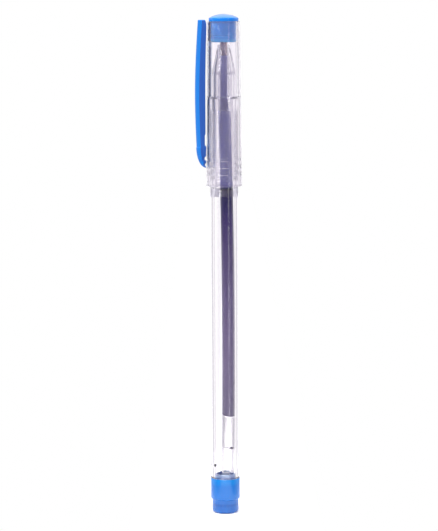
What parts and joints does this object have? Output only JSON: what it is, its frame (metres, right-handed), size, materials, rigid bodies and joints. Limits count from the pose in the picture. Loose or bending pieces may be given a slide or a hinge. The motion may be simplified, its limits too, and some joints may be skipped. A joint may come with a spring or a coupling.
{
  "type": "gel pen",
  "caption": "Capped gel pen with a clear barrel, a refill drawn from the tail, a translucent tail plug, and a clear pull-off cap with a spring clip.",
  "frame": {"origin": "centre of the flat tail face, on the pen's axis, where the pen stands", "axes": "+Z along the pen's axis from the tail to the cap, the clip on the -X side"},
  "size_m": [0.0139, 0.0106, 0.1492],
  "materials": {
    "clear_barrel": "clear moulded, polished",
    "blue_plug": "translucent moulded, satin gloss",
    "refill_tube": "thin translucent extruded tube",
    "gel_ink": "wet gel ink",
    "follower": "clear grease",
    "tip_adapter": "translucent moulded",
    "point_metal": "turned, bright",
    "ball_metal": "polished carbide",
    "clear_cap": "clear moulded, polished",
    "blue_cap_plug": "translucent moulded, gloss",
    "soft_seal": "soft silicone",
    "blue_clip": "opaque moulded, gloss"
  },
  "bodies": {
    "barrel": {"barrel": "clear_barrel"},
    "cap": {"cap_shell": "clear_cap", "cap_plug": "blue_cap_plug", "tip_seal": "soft_seal"},
    "clip": {"clip": "blue_clip"},
    "tail_plug": {"tail_plug": "blue_plug"},
    "refill": {"refill_tube": "refill_tube", "gel_ink": "gel_ink", "ink_follower": "follower", "tip_adapter": "tip_adapter", "tip_cone": "point_metal"},
    "tip_ball": {"tip_ball": "ball_metal"}
  },
  "joints": [
    {"name": "cap_pull", "type": "slide", "parent": "barrel", "child": "cap", "axis": [0, 0, 1], "range_m": [0, 0.055]},
    {"name": "clip_flex", "type": "hinge", "parent": "cap", "child": "clip", "pos_m": [-0.0057, 0, 0.14395], "axis": [0, 1, 0], "range_deg": [0, 3.5], "stiffness_Nm_per_rad": 0.03},
    {"name": "plug_pull", "type": "slide", "parent": "barrel", "child": "tail_plug", "axis": [0, 0, -1], "range_m": [0, 0.14]},
    {"name": "refill_draw", "type": "slide", "parent": "barrel", "child": "refill", "axis": [0, 0, -1], "range_m": [0, 0.14]},
    {"name": "ball_roll", "type": "hinge", "parent": "refill", "child": "tip_ball", "pos_m": [0, 0, 0.1431], "axis": [1, 0, 0], "continuous": true}
  ],
  "couplings": [
    {"joint": "refill_draw", "follows": "plug_pull", "ratio": 1}
  ]
}
